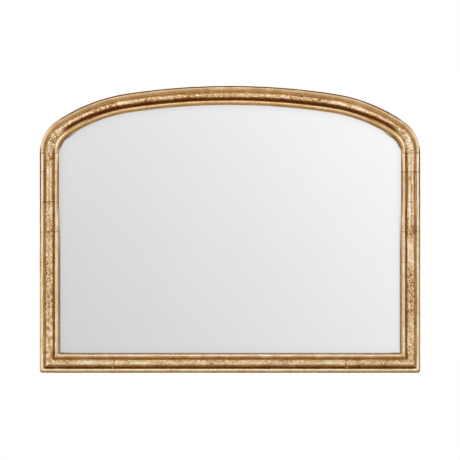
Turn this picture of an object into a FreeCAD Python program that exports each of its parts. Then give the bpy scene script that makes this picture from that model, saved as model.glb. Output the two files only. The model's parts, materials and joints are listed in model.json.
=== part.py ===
import FreeCAD, Part
import math
import os
import types

import Sketcher

# An arched wall mirror: a gilded three-reed moulding round a mirror plate, fitted out at the back
# for hanging. X runs to the right, Z runs up and the front faces -Y. The plane y = 0 is the back
# of the frame, and the origin lies in it midway between the axes of the two hanging rings.

# The driving sizes, in millimetres, or in degrees where the name says angle.
SIZES = {
    "overall_width": 1200,
    "overall_height": 905,
    "shoulder_radius": 122,
    "shoulder_angle": 56,
    "haunch_radius": 540,
    "crown_half_angle": 8.6,
    "outer_bead_width": 14,
    "outer_quirk_width": 3.5,
    "reed_width": 24.5,
    "reed_stilt": 1.5,
    "inner_quirk_width": 4,
    "inner_bead_width": 12,
    "sight_fillet_width": 2,
    "lip_thickness": 6,
    "back_arris": 1.5,
    "rebate_width": 10,
    "glass_thickness": 4,
    "glass_clearance": 2.5,
    "liner_thickness": 1,
    "board_thickness": 3,
    "board_clearance": 1,
    "board_recess": 0.2,
    "block_length": 40,
    "block_end_distance": 300,
    "low_packer_height": 140,
    "high_packer_drop": 105,
    "dowel_diameter": 8,
    "dowel_length": 40,
    "dowel_clearance": 0.05,
    "socket_end_gap": 1,
    "outer_dowel_inset": 15,
    "inner_dowel_inset": 35,
    "mitre_dowel_inset": 30,
    "screw_diameter": 3.5,
    "screw_length": 16,
    "screw_tip_length": 3,
    "screw_head_diameter": 7,
    "screw_head_height": 2,
    "screw_head_edge": 0.9,
    "screw_crown_diameter": 4.6,
    "recess_length": 3.6,
    "recess_width": 0.8,
    "recess_depth": 0.9,
    "pilot_clearance": 0.05,
    "plate_hole_clearance": 0.3,
    "brace_length": 75,
    "brace_width": 16,
    "brace_thickness": 2,
    "brace_near_hole": 36,
    "brace_far_hole": 64,
    "button_width": 12,
    "button_long_arm": 25,
    "button_short_arm": 9,
    "button_thickness": 1.2,
    "button_play": 0.2,
    "button_setback": 14,
    "button_hole_clearance": 0.45,
    "rail_button_end_distance": 300,
    "low_button_height": 220,
    "high_button_drop": 220,
    "hanger_drop": 70,
    "strap_width": 16,
    "strap_thickness": 1.2,
    "strap_length": 49,
    "strap_corner_radius": 5,
    "strap_near_hole": 27,
    "strap_far_hole": 41,
    "fold_angle": 24,
    "ring_wire_diameter": 3,
    "ring_loop_clearance": 0.1,
    "ring_side_clearance": 1,
    "ring_bend_radius": 3,
    "ring_drop": 9,
    "ring_rest_gap": 0.3,
    "bumper_diameter": 14,
    "bumper_thickness": 6,
    "bumper_edge_radius": 1,
    "bumper_end_distance": 120,
}


class Size:
    """A value together with the expression that gives it in the document."""

    def __init__(self, value, text):
        self.value = value
        self.text = text

    def join(self, sign, other, value):
        return Size(value, "(" + self.text + " " + sign + " " + other.text + ")")

    def __add__(self, other):
        other = as_size(other)
        return self.join("+", other, self.value + other.value)

    def __sub__(self, other):
        other = as_size(other)
        return self.join("-", other, self.value - other.value)

    def __mul__(self, other):
        other = as_size(other)
        return self.join("*", other, self.value * other.value)

    def __truediv__(self, other):
        other = as_size(other)
        return self.join("/", other, self.value / other.value)

    def __neg__(self):
        return as_size(0) - self


def as_size(number):
    if isinstance(number, Size):
        return number
    return Size(float(number), str(number))


def sine(angle):
    return Size(math.sin(math.radians(angle.value)), "sin(" + angle.text + ")")


def cosine(angle):
    return Size(math.cos(math.radians(angle.value)), "cos(" + angle.text + ")")


def tangent(angle):
    return Size(math.tan(math.radians(angle.value)), "tan(" + angle.text + ")")


def arcsine(ratio):
    return Size(math.degrees(math.asin(ratio.value)), "asin(" + ratio.text + ")")


# The document, its sheet of sizes and the list of finished pieces.
doc = FreeCAD.newDocument("arched_wall_mirror")
sheet = doc.addObject("Spreadsheet::Sheet", "Sizes")
cells = {}
for row, name in enumerate(SIZES, 1):
    sheet.set("A%d" % row, name)
    sheet.set("B%d" % row, str(SIZES[name]))
    sheet.setAlias("B%d" % row, name)
    cells[name] = Size(float(SIZES[name]), "Sizes." + name)
sizes = types.SimpleNamespace(**cells)
doc.recompute()
nodes = []
nought = as_size(0)

# Sizes that follow from the driving ones.
half_width = sizes.overall_width / 2
quirk_start = sizes.outer_bead_width
reed_start = quirk_start + sizes.outer_quirk_width
reed_end = reed_start + sizes.reed_width
inner_bead_start = reed_end + sizes.inner_quirk_width
inner_bead_end = inner_bead_start + sizes.inner_bead_width
face_width = inner_bead_end + sizes.sight_fillet_width
land_width = face_width - sizes.rebate_width
land_middle = land_width / 2
board_front = sizes.board_recess + sizes.board_thickness
glass_back = board_front + sizes.liner_thickness
rebate_depth = glass_back + sizes.glass_thickness
bed_height = rebate_depth + sizes.lip_thickness
reed_foot = bed_height + sizes.reed_stilt

# The five-centred arch, with heights counted from its springing.
shoulder_centre_x = half_width - sizes.shoulder_radius
centre_shift = sizes.haunch_radius - sizes.shoulder_radius
haunch_centre_x = shoulder_centre_x - centre_shift * cosine(sizes.shoulder_angle)
haunch_drop = centre_shift * sine(sizes.shoulder_angle)
crown_radius = sizes.haunch_radius + haunch_centre_x / sine(sizes.crown_half_angle)
crown_shift = crown_radius - sizes.haunch_radius
crown_drop = haunch_drop + crown_shift * cosine(sizes.crown_half_angle)
crown_angle = as_size(90) - sizes.crown_half_angle

# Heights above the bottom edge, and the height of the ring axes, where z is nought.
springing = sizes.overall_height - crown_radius + crown_drop
hang_height = springing - sizes.hanger_drop
haunch_centre_height = springing - haunch_drop
crown_centre_height = springing - crown_drop


def place(item, x, y, z):
    """Binds the item's position."""
    item.setExpression("Placement.Base.x", x.text)
    item.setExpression("Placement.Base.y", y.text)
    item.setExpression("Placement.Base.z", z.text)


def turn(item, axis, angle):
    """Binds the item's rotation about an axis through its own origin."""
    item.Placement = FreeCAD.Placement(FreeCAD.Vector(), FreeCAD.Rotation(axis, angle.value))
    item.setExpression("Placement.Rotation.Angle", angle.text)


def finish(item, label):
    """Names a finished piece and lists it for export."""
    item.Label = label
    nodes.append(item)


def new_body(name):
    return doc.addObject("PartDesign::Body", name)


def datum(body, role):
    for feature in body.Origin.OriginFeatures:
        if feature.Role == role:
            return feature


def new_sketch(body, role):
    sketch = body.newObject("Sketcher::SketchObject", body.Name + "_sketch")
    sketch.AttachmentSupport = (datum(body, role), [""])
    sketch.MapMode = "FlatFace"
    return sketch


def hold(sketch, way, index, point, length):
    """Dimensions a point from the sketch's origin and binds the dimension."""
    constraint = Sketcher.Constraint(way, -1, 1, index, point, length.value)
    number = sketch.addConstraint(constraint)
    sketch.setExpression("Constraints[%d]" % number, length.text)


def vector(corner):
    return FreeCAD.Vector(corner[0].value, corner[1].value, 0)


def arc_between(here, there, centre, turning):
    """An arc from here to there, anticlockwise if turning is 1 and clockwise if it is -1."""
    middle = vector(centre)
    start = vector(here) - middle
    stop = vector(there) - middle
    if turning < 0:
        start, stop = stop, start
    first = math.atan2(start.y, start.x)
    last = math.atan2(stop.y, stop.x)
    if last <= first:
        last += 2 * math.pi
    circle = Part.Circle(middle, FreeCAD.Vector(0, 0, 1), start.Length)
    return Part.ArcOfCircle(circle, first, last)


def draw(sketch, corners, arcs, closed=True):
    """Draws a dimensioned outline. arcs maps a corner to the centre and turn of the arc leaving it."""
    count = len(corners)
    spans = count if closed else count - 1
    ends = []
    for number in range(spans):
        here = corners[number]
        there = corners[(number + 1) % count]
        if number in arcs:
            centre, turning = arcs[number]
            index = sketch.addGeometry(arc_between(here, there, centre, turning), False)
            ends.append((index, 1, 2) if turning > 0 else (index, 2, 1))
        else:
            index = sketch.addGeometry(Part.LineSegment(vector(here), vector(there)), False)
            ends.append((index, 1, 2))
    for number in range(spans if closed else spans - 1):
        index, begin, end = ends[number]
        following, start, stop = ends[(number + 1) % spans]
        sketch.addConstraint(Sketcher.Constraint("Coincident", index, end, following, start))
    for number in range(spans):
        index, begin, end = ends[number]
        hold(sketch, "DistanceX", index, begin, corners[number][0])
        hold(sketch, "DistanceY", index, begin, corners[number][1])
    if not closed:
        hold(sketch, "DistanceX", ends[-1][0], ends[-1][2], corners[-1][0])
        hold(sketch, "DistanceY", ends[-1][0], ends[-1][2], corners[-1][1])
    for number in arcs:
        chord = vector(corners[(number + 1) % count]) - vector(corners[number])
        centre = arcs[number][0]
        if abs(chord.x) > abs(chord.y):
            hold(sketch, "DistanceY", ends[number][0], 3, centre[1])
        else:
            hold(sketch, "DistanceX", ends[number][0], 3, centre[0])


def draw_circle(sketch, centre, radius):
    circle = Part.Circle(vector(centre), FreeCAD.Vector(0, 0, 1), radius.value)
    index = sketch.addGeometry(circle, False)
    number = sketch.addConstraint(Sketcher.Constraint("Radius", index, radius.value))
    sketch.setExpression("Constraints[%d]" % number, radius.text)
    hold(sketch, "DistanceX", index, 3, centre[0])
    hold(sketch, "DistanceY", index, 3, centre[1])


def pad(body, sketch, length, reverse=False, midplane=False):
    feature = body.newObject("PartDesign::Pad", body.Name + "_pad")
    feature.Profile = sketch
    feature.setExpression("Length", length.text)
    feature.Reversed = reverse
    feature.Midplane = midplane
    return feature


def cut_through(body, sketch):
    feature = body.newObject("PartDesign::Pocket", body.Name + "_cut")
    feature.Profile = sketch
    feature.Type = "ThroughAll"
    feature.Midplane = True
    return feature


def drill(body, spots, radius, depth):
    """Drills holes from the frame's back into the wood."""
    sketch = new_sketch(body, "XZ_Plane")
    for spot in spots:
        draw_circle(sketch, spot, radius)
    feature = body.newObject("PartDesign::Pocket", body.Name + "_holes")
    feature.Profile = sketch
    feature.setExpression("Length", depth.text)
    feature.Reversed = True
    return feature


def join_all(name, items):
    group = doc.addObject("Part::Compound", name)
    group.Links = items
    return group


def mirrored(item, name):
    """The same piece for the right-hand side."""
    other = doc.addObject("Part::Mirroring", name)
    other.Source = item
    other.Base = FreeCAD.Vector(0, 0, 0)
    other.Normal = FreeCAD.Vector(1, 0, 0)
    return other


# The moulding's cross-section. u runs from the outer edge inwards and v from the back forwards.
PROFILE = [
    (sizes.back_arris, nought),
    (nought, sizes.back_arris),
    (nought, bed_height),
    (quirk_start, bed_height),
    (reed_start, bed_height),
    (reed_start, reed_foot),
    (reed_end, reed_foot),
    (reed_end, bed_height),
    (inner_bead_start, bed_height),
    (inner_bead_end, bed_height),
    (face_width, bed_height),
    (face_width, rebate_depth),
    (land_width, rebate_depth),
    (land_width, nought),
]
BEADS = {
    2: (quirk_start / 2, bed_height),
    5: ((reed_start + reed_end) / 2, reed_foot),
    8: ((inner_bead_start + inner_bead_end) / 2, bed_height),
}


def draw_moulding(sketch, lay, turning):
    """Draws the cross-section. lay carries u and v to the sketch's own coordinates."""
    corners = [lay(u, v) for u, v in PROFILE]
    arcs = {}
    for corner in BEADS:
        arcs[corner] = (lay(*BEADS[corner]), turning)
    draw(sketch, corners, arcs)


# Where the turn buttons pivot, with the direction in which each points to hold the board.
pivot_inset = land_width - sizes.button_setback
haunch_button_angle = (sizes.shoulder_angle + crown_angle) / 2
haunch_button_reach = sizes.haunch_radius - pivot_inset
haunch_button_x = haunch_centre_x + haunch_button_reach * cosine(haunch_button_angle)
haunch_button_height = haunch_centre_height + haunch_button_reach * sine(haunch_button_angle)
haunch_button_turn = haunch_button_angle + 90
stile_pivot_x = half_width - pivot_inset
rail_button_x = half_width - sizes.rail_button_end_distance
low_button_height = sizes.low_button_height
high_button_height = springing - sizes.high_button_drop
crown_button_height = sizes.overall_height - pivot_inset

# Where the corner braces, hangers and bumpers are screwed or stuck to the back.
brace_corner = land_middle - sizes.brace_width / 2
brace_near = brace_corner + sizes.brace_near_hole
brace_far = brace_corner + sizes.brace_far_hole
hanger_x = half_width - land_middle
strap_near_height = hang_height - sizes.strap_near_hole
strap_far_height = hang_height - sizes.strap_far_hole
strap_stack = sizes.strap_thickness * 2
button_seat = sizes.button_play * 2 + sizes.button_thickness

# Depths of the pilot holes under each kind of screw.
pilot_radius = sizes.screw_diameter / 2 + sizes.pilot_clearance
brace_pilot = sizes.screw_length - sizes.brace_thickness
strap_pilot = sizes.screw_length - strap_stack
button_pilot = sizes.screw_length - button_seat

# Dowels of the arch joints and mitres, each a smooth beech peg in two drilled sockets.
dowel_radius = sizes.dowel_diameter / 2
socket_radius = dowel_radius + sizes.dowel_clearance
dowel_half = sizes.dowel_length / 2
socket_half = dowel_half + sizes.socket_end_gap
dowel_inset_y = -(bed_height / 2)
mitre_tilt = as_size(-135)


def peg(name, x, height, tilt, radius, half_length):
    """A round peg with its middle on a joint, leaning by tilt from upright towards +X."""
    item = doc.addObject("Part::Cylinder", name)
    item.setExpression("Radius", radius.text)
    item.setExpression("Height", (half_length * 2).text)
    turn(item, FreeCAD.Vector(0, 1, 0), tilt)
    base_x = x - sine(tilt) * half_length
    base_height = height - cosine(tilt) * half_length
    place(item, base_x, dowel_inset_y, base_height - hang_height)
    return item


def doweled(side, inset, joint):
    """The dowel and socket on one side of the frame at an inset from its outer edge."""
    if joint == "springing":
        x = half_width - inset
        height = springing
        tilt = nought
    elif joint == "crown":
        x = (crown_radius - inset) * sine(sizes.crown_half_angle)
        height = crown_centre_height + (crown_radius - inset) * cosine(sizes.crown_half_angle)
        tilt = -crown_angle
    else:
        x = half_width - inset
        height = inset
        tilt = mitre_tilt
    if side < 0:
        x = -x
        tilt = -tilt
    dowel = peg(joint + "_dowel", x, height, tilt, dowel_radius, dowel_half)
    socket = peg(joint + "_socket", x, height, tilt, socket_radius, socket_half)
    return dowel, socket


arch_dowels = []
mitre_dowels = []
sockets = {}
for side in (-1, 1):
    for joint in ("springing", "crown"):
        sockets[side, joint] = []
        for inset in (sizes.outer_dowel_inset, sizes.inner_dowel_inset):
            dowel, socket = doweled(side, inset, joint)
            arch_dowels.append(dowel)
            sockets[side, joint].append(socket)
    dowel, socket = doweled(side, sizes.mitre_dowel_inset, "mitre")
    mitre_dowels.append(dowel)
    sockets[side, "mitre"] = [socket]
finish(join_all("arch_dowels", arch_dowels), "arch_dowels")
finish(join_all("mitre_dowels", mitre_dowels), "mitre_dowels")


def socketed(body, name, tools):
    """The member with its dowel sockets bored."""
    bored = doc.addObject("Part::Cut", name)
    bored.Base = body
    bored.Tool = join_all(name + "_sockets", tools)
    return bored


# Bottom rail: a straight length of the moulding, mitred at both ends.
rail = new_body("rail_blank")
rail_section = new_sketch(rail, "YZ_Plane")
draw_moulding(rail_section, lambda u, v: (-v, u), -1)
pad(rail, rail_section, sizes.overall_width, midplane=True)
mitre_reach = face_width * 2
for side in (-1, 1):
    mitre = new_sketch(rail, "XZ_Plane")
    toe = ((half_width + face_width) * side, -face_width)
    heel = ((half_width - mitre_reach) * side, mitre_reach)
    waste = ((half_width + face_width) * side, mitre_reach)
    draw(mitre, [toe, heel, waste], {})
    cut_through(rail, mitre)
rail_buttons = [
    (-rail_button_x, pivot_inset),
    (nought, pivot_inset),
    (rail_button_x, pivot_inset),
]
drill(rail, rail_buttons, pilot_radius, button_pilot)
rail_braces = []
for along in (brace_near, brace_far):
    rail_braces.append((along - half_width, land_middle))
    rail_braces.append((half_width - along, land_middle))
drill(rail, rail_braces, pilot_radius, brace_pilot)
place(rail, nought, nought, -hang_height)
bottom_rail = socketed(rail, "bottom_rail", sockets[-1, "mitre"] + sockets[1, "mitre"])
finish(bottom_rail, "bottom_rail")

# Stiles: straight lengths mitred at the foot and butted to the arch at the springing.
stile = new_body("stile_blank")
stile_section = new_sketch(stile, "XY_Plane")
draw_moulding(stile_section, lambda u, v: (u - half_width, -v), 1)
pad(stile, stile_section, springing)
mitre = new_sketch(stile, "XZ_Plane")
toe = (-(half_width + face_width), -face_width)
heel = (mitre_reach - half_width, mitre_reach)
waste = (mitre_reach - half_width, -face_width)
draw(mitre, [toe, heel, waste], {})
cut_through(stile, mitre)
stile_buttons = [(-stile_pivot_x, low_button_height), (-stile_pivot_x, high_button_height)]
drill(stile, stile_buttons, pilot_radius, button_pilot)
stile_braces = [(land_middle - half_width, brace_near), (land_middle - half_width, brace_far)]
drill(stile, stile_braces, pilot_radius, brace_pilot)
stile_straps = [(-hanger_x, strap_near_height), (-hanger_x, strap_far_height)]
drill(stile, stile_straps, pilot_radius, strap_pilot)
place(stile, nought, nought, -hang_height)
left_stile = socketed(stile, "left_stile", sockets[-1, "mitre"] + sockets[-1, "springing"])
finish(left_stile, "left_stile")
finish(mirrored(left_stile, "right_stile"), "right_stile")


def arch_section(body, radius, axis_radius, angle):
    """The cross-section stood on the arch at an angle, with the axis of the arc that leaves it."""
    sketch = new_sketch(body, "XY_Plane")
    spin = FreeCAD.Rotation(FreeCAD.Vector(0, 1, 0), angle.value)
    sketch.AttachmentOffset = FreeCAD.Placement(FreeCAD.Vector(), spin)
    sketch.setExpression("AttachmentOffset.Rotation.Angle", angle.text)
    draw_moulding(sketch, lambda u, v: (u - radius, -v), 1)
    offset = axis_radius - radius
    foot = (offset, nought)
    head = (offset, bed_height)
    axis = sketch.addGeometry(Part.LineSegment(vector(foot), vector(head)), True)
    hold(sketch, "DistanceX", axis, 1, foot[0])
    hold(sketch, "DistanceY", axis, 1, foot[1])
    hold(sketch, "DistanceX", axis, 2, head[0])
    hold(sketch, "DistanceY", axis, 2, head[1])
    return sketch


def sweep_arc(body, sketch, angle):
    """Runs the cross-section round its axis."""
    feature = body.newObject("PartDesign::Revolution", body.Name + "_arc")
    feature.Profile = sketch
    feature.ReferenceAxis = (sketch, ["Axis0"])
    feature.setExpression("Angle", angle.text)
    return feature


# Haunches: each carries the tight shoulder arc and the slower haunch arc in one piece.
haunch = new_body("haunch_blank")
shoulder_section = arch_section(haunch, sizes.shoulder_radius, sizes.shoulder_radius, nought)
sweep_arc(haunch, shoulder_section, sizes.shoulder_angle)
haunch_section = arch_section(
    haunch, sizes.shoulder_radius, sizes.haunch_radius, sizes.shoulder_angle
)
sweep_arc(haunch, haunch_section, crown_angle - sizes.shoulder_angle)
haunch_button = (shoulder_centre_x - haunch_button_x, haunch_button_height - springing)
drill(haunch, [haunch_button], pilot_radius, button_pilot)
place(haunch, -shoulder_centre_x, nought, springing - hang_height)
arch_left = socketed(haunch, "arch_left", sockets[-1, "springing"] + sockets[-1, "crown"])
finish(arch_left, "arch_left")
finish(mirrored(arch_left, "arch_right"), "arch_right")

# Crown: the flattest arc, which closes the arch between the two haunches.
crown = new_body("crown_blank")
crown_section = arch_section(crown, crown_radius, crown_radius, crown_angle)
sweep_arc(crown, crown_section, sizes.crown_half_angle * 2)
drill(crown, [(nought, crown_radius - pivot_inset)], pilot_radius, button_pilot)
place(crown, nought, nought, crown_centre_height - hang_height)
arch_crown = socketed(crown, "arch_crown", sockets[-1, "crown"] + sockets[1, "crown"])
finish(arch_crown, "arch_crown")


def arched_sheet(label, inset, thickness, back):
    """A flat sheet that follows the frame's outline at an inset from its outer edge."""
    body = new_body(label)
    sketch = new_sketch(body, "XZ_Plane")
    shoulder = sizes.shoulder_radius - inset
    haunch_arc = sizes.haunch_radius - inset
    crown_arc = crown_radius - inset
    shoulder_end_x = shoulder_centre_x + shoulder * cosine(sizes.shoulder_angle)
    shoulder_end_z = springing + shoulder * sine(sizes.shoulder_angle)
    haunch_end_x = haunch_centre_x + haunch_arc * sine(sizes.crown_half_angle)
    haunch_end_z = haunch_centre_height + haunch_arc * cosine(sizes.crown_half_angle)
    corners = [
        (inset - half_width, inset),
        (half_width - inset, inset),
        (half_width - inset, springing),
        (shoulder_end_x, shoulder_end_z),
        (haunch_end_x, haunch_end_z),
        (-haunch_end_x, haunch_end_z),
        (-shoulder_end_x, shoulder_end_z),
        (inset - half_width, springing),
    ]
    arcs = {
        2: ((shoulder_centre_x, springing), 1),
        3: ((haunch_centre_x, haunch_centre_height), 1),
        4: ((nought, crown_centre_height), 1),
        5: ((-haunch_centre_x, haunch_centre_height), 1),
        6: ((-shoulder_centre_x, springing), 1),
    }
    draw(sketch, corners, arcs)
    pad(body, sketch, thickness)
    place(body, nought, -back, -hang_height)
    finish(body, label)


# Mirror plate, liner card and backing board, stacked in the rebate.
glass_inset = land_width + sizes.glass_clearance
board_inset = land_width + sizes.board_clearance
arched_sheet("mirror_plate", glass_inset, sizes.glass_thickness, glass_back)
arched_sheet("card_liner", glass_inset, sizes.liner_thickness, board_front)
arched_sheet("backing_board", board_inset, sizes.board_thickness, sizes.board_recess)


def block(name, width, height, x, z):
    """A rubber block as deep as the glass, between the glass's edge and the rebate."""
    item = doc.addObject("Part::Box", name)
    item.setExpression("Length", width.text)
    item.setExpression("Width", sizes.glass_thickness.text)
    item.setExpression("Height", height.text)
    place(item, x, -rebate_depth, z - hang_height)
    return item


# Setting blocks carry the glass on the rail, and edge packers centre it between the stiles.
block_x = half_width - sizes.block_end_distance
block_half = sizes.block_length / 2
setting_blocks = []
edge_packers = []
for side in (-1, 1):
    x = block_x * side - block_half
    clearance = sizes.glass_clearance
    setting_blocks.append(block("setting_block", sizes.block_length, clearance, x, land_width))
    x = (half_width - land_width - clearance / 2) * side - clearance / 2
    for middle in (sizes.low_packer_height, springing - sizes.high_packer_drop):
        z = middle - block_half
        edge_packers.append(block("edge_packer", clearance, sizes.block_length, x, z))
finish(join_all("setting_blocks", setting_blocks), "setting_blocks")
finish(join_all("edge_packers", edge_packers), "edge_packers")

# Corner braces: flat steel L plates across the back of the mitres.
brace = new_body("corner_brace_left")
brace_sketch = new_sketch(brace, "XZ_Plane")
brace_corners = [
    (nought, nought),
    (sizes.brace_length, nought),
    (sizes.brace_length, sizes.brace_width),
    (sizes.brace_width, sizes.brace_width),
    (sizes.brace_width, sizes.brace_length),
    (nought, sizes.brace_length),
]
draw(brace_sketch, brace_corners, {})
pad(brace, brace_sketch, sizes.brace_thickness, reverse=True)
brace_holes = new_sketch(brace, "XZ_Plane")
plate_hole_radius = sizes.screw_diameter / 2 + sizes.plate_hole_clearance
for along in (sizes.brace_near_hole, sizes.brace_far_hole):
    draw_circle(brace_holes, (along, sizes.brace_width / 2), plate_hole_radius)
    draw_circle(brace_holes, (sizes.brace_width / 2, along), plate_hole_radius)
cut_through(brace, brace_holes)
place(brace, brace_corner - half_width, nought, brace_corner - hang_height)
finish(brace, "corner_brace_left")
finish(mirrored(brace, "corner_brace_right"), "corner_brace_right")

# One pan-head wood screw serves for the braces, the hangers and the turn buttons.
screw = new_body("wood_screw")
screw_section = new_sketch(screw, "XY_Plane")
screw_radius = sizes.screw_diameter / 2
head_radius = sizes.screw_head_diameter / 2
screw_corners = [
    (nought, -sizes.screw_length),
    (screw_radius, sizes.screw_tip_length - sizes.screw_length),
    (screw_radius, nought),
    (head_radius, nought),
    (head_radius, sizes.screw_head_edge),
    (sizes.screw_crown_diameter / 2, sizes.screw_head_height),
    (nought, sizes.screw_head_height),
]
draw(screw_section, screw_corners, {})
screw_turning = screw.newObject("PartDesign::Revolution", "screw_turning")
screw_turning.Profile = screw_section
screw_turning.ReferenceAxis = (datum(screw, "Y_Axis"), [""])
screw_turning.Angle = 360
recess = new_sketch(screw, "XZ_Plane")
recess.setExpression("AttachmentOffset.Base.z", (-sizes.screw_head_height).text)
arm = sizes.recess_length / 2
waist = sizes.recess_width / 2
recess_corners = [
    (arm, -waist),
    (arm, waist),
    (waist, waist),
    (waist, arm),
    (-waist, arm),
    (-waist, waist),
    (-arm, waist),
    (-arm, -waist),
    (-waist, -waist),
    (-waist, -arm),
    (waist, -arm),
    (waist, -waist),
]
draw(recess, recess_corners, {})
recess_cut = screw.newObject("PartDesign::Pocket", "screw_recess")
recess_cut.Profile = recess
recess_cut.setExpression("Length", sizes.recess_depth.text)
recess_cut.Reversed = True


def screws(label, spots, seat):
    """Copies of the screw with their heads seated at a distance behind the frame."""
    copies = []
    for x, height in spots:
        copy = doc.addObject("App::Link", "screw_copy")
        copy.LinkedObject = screw
        place(copy, x, seat, height - hang_height)
        copies.append(copy)
    finish(join_all(label, copies), label)


brace_spots = []
hanger_spots = []
for side in (-1, 1):
    for along in (brace_near, brace_far):
        brace_spots.append(((half_width - along) * side, land_middle))
        brace_spots.append(((half_width - land_middle) * side, along))
    hanger_spots.append((hanger_x * side, strap_near_height))
    hanger_spots.append((hanger_x * side, strap_far_height))
screws("brace_screws", brace_spots, sizes.brace_thickness)
screws("hanger_screws", hanger_spots, strap_stack)


def turn_button(label, x, height, angle):
    """A stamped steel turn button on its pivot, pointing upwards when the angle is nought."""
    body = new_body(label)
    sketch = new_sketch(body, "XZ_Plane")
    end_radius = sizes.button_width / 2
    tip = sizes.button_long_arm - end_radius
    tail = end_radius - sizes.button_short_arm
    corners = [(end_radius, tail), (end_radius, tip), (-end_radius, tip), (-end_radius, tail)]
    draw(sketch, corners, {1: ((nought, tip), 1), 3: ((nought, tail), 1)})
    draw_circle(sketch, (nought, nought), screw_radius + sizes.button_hole_clearance)
    pad(body, sketch, sizes.button_thickness, reverse=True)
    turn(body, FreeCAD.Vector(0, 1, 0), angle)
    place(body, x, sizes.button_play, height - hang_height)
    finish(body, label)
    return x, height


# Turn buttons: each swings on its own screw and holds the board while it points inwards.
right_angle = as_size(90)
button_spots = [
    turn_button("button_rail_left", -rail_button_x, pivot_inset, nought),
    turn_button("button_rail_middle", nought, pivot_inset, nought),
    turn_button("button_rail_right", rail_button_x, pivot_inset, nought),
    turn_button("button_left_low", -stile_pivot_x, low_button_height, right_angle),
    turn_button("button_left_high", -stile_pivot_x, high_button_height, right_angle),
    turn_button("button_right_low", stile_pivot_x, low_button_height, -right_angle),
    turn_button("button_right_high", stile_pivot_x, high_button_height, -right_angle),
    turn_button("button_arch_left", -haunch_button_x, haunch_button_height, haunch_button_turn),
    turn_button("button_arch_right", haunch_button_x, haunch_button_height, -haunch_button_turn),
    turn_button("button_crown", nought, crown_button_height, as_size(180)),
]
screws("button_screws", button_spots, button_seat)

# Sizes of the hanger's folded loop and of the ring that swings in it.
wire_radius = sizes.ring_wire_diameter / 2
loop_hole_radius = wire_radius + sizes.ring_loop_clearance
loop_radius = loop_hole_radius + sizes.strap_thickness
ring_half = sizes.strap_width / 2 + sizes.ring_side_clearance + wire_radius
ring_lift = strap_stack + wire_radius + sizes.ring_rest_gap - loop_radius
ring_tilt = arcsine(ring_lift / (sizes.ring_drop + ring_half))


def hanger_strap(label, side):
    """A steel strip folded double round the ring, screwed flat to the back of a stile."""
    body = new_body(label)
    sketch = new_sketch(body, "YZ_Plane")
    back = -loop_radius
    outside = strap_stack - loop_radius
    fold_y = loop_radius * cosine(sizes.fold_angle)
    fold_z = -(loop_radius * sine(sizes.fold_angle))
    meet_z = fold_z - (fold_y - outside) / tangent(sizes.fold_angle)
    corners = [
        (back, -sizes.strap_length),
        (back, nought),
        (fold_y, fold_z),
        (outside, meet_z),
        (outside, -sizes.strap_length),
    ]
    draw(sketch, corners, {1: ((nought, nought), -1)})
    draw_circle(sketch, (nought, nought), loop_hole_radius)
    pad(body, sketch, sizes.strap_width, midplane=True)
    holes = new_sketch(body, "XZ_Plane")
    for down in (sizes.strap_near_hole, sizes.strap_far_hole):
        draw_circle(holes, (nought, -down), plate_hole_radius)
    cut = cut_through(body, holes)
    doc.recompute()
    ends = []
    for number, edge in enumerate(cut.Shape.Edges, 1):
        box = edge.BoundBox
        upright = box.ZLength < 0.001 and box.XLength < 0.001
        if upright and box.ZMin < 0.001 - sizes.strap_length.value:
            ends.append("Edge%d" % number)
    rounding = body.newObject("PartDesign::Fillet", label + "_rounding")
    rounding.Base = (cut, ends)
    rounding.setExpression("Radius", sizes.strap_corner_radius.text)
    place(body, hanger_x * side, loop_radius, nought)
    finish(body, label)


def hanger_ring(label, side):
    """A bent-wire D ring. It hangs from the strap's loop and leans a little off the strap."""
    body = new_body(label)
    wire = new_sketch(body, "YZ_Plane")
    draw_circle(wire, (nought, nought), wire_radius)
    path = new_sketch(body, "XZ_Plane")
    bend = sizes.ring_bend_radius
    corners = [
        (nought, nought),
        (ring_half - bend, nought),
        (ring_half, -bend),
        (ring_half, -sizes.ring_drop),
        (nought, -(sizes.ring_drop + ring_half)),
    ]
    arcs = {1: ((ring_half - bend, -bend), -1), 3: ((nought, -sizes.ring_drop), -1)}
    draw(path, corners, arcs, closed=False)
    half_ring = body.newObject("PartDesign::AdditivePipe", label + "_half")
    half_ring.Profile = wire
    half_ring.Spine = path
    whole = body.newObject("PartDesign::Mirrored", label + "_whole")
    whole.Originals = [half_ring]
    whole.MirrorPlane = (datum(body, "YZ_Plane"), [""])
    body.Tip = whole
    turn(body, FreeCAD.Vector(1, 0, 0), ring_tilt)
    place(body, hanger_x * side, loop_radius, nought)
    finish(body, label)


# Hangers: a strap on each stile, each with a ring for the wall hook.
hanger_strap("hanger_strap_left", -1)
hanger_strap("hanger_strap_right", 1)
hanger_ring("hanger_ring_left", -1)
hanger_ring("hanger_ring_right", 1)


def wall_bumper(label, side):
    """A stick-on rubber bumper that keeps the hung frame parallel to the wall."""
    body = new_body(label)
    sketch = new_sketch(body, "XZ_Plane")
    draw_circle(sketch, (nought, nought), sizes.bumper_diameter / 2)
    disc = pad(body, sketch, sizes.bumper_thickness, reverse=True)
    doc.recompute()
    rims = []
    for number, edge in enumerate(disc.Shape.Edges, 1):
        if edge.BoundBox.YMin > sizes.bumper_thickness.value - 0.001:
            rims.append("Edge%d" % number)
    rounding = body.newObject("PartDesign::Fillet", label + "_rounding")
    rounding.Base = (disc, rims)
    rounding.setExpression("Radius", sizes.bumper_edge_radius.text)
    bumper_x = (half_width - sizes.bumper_end_distance) * side
    place(body, bumper_x, nought, land_middle - hang_height)
    finish(body, label)


# Wall bumpers near the ends of the bottom rail.
wall_bumper("wall_bumper_left", -1)
wall_bumper("wall_bumper_right", 1)

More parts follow.
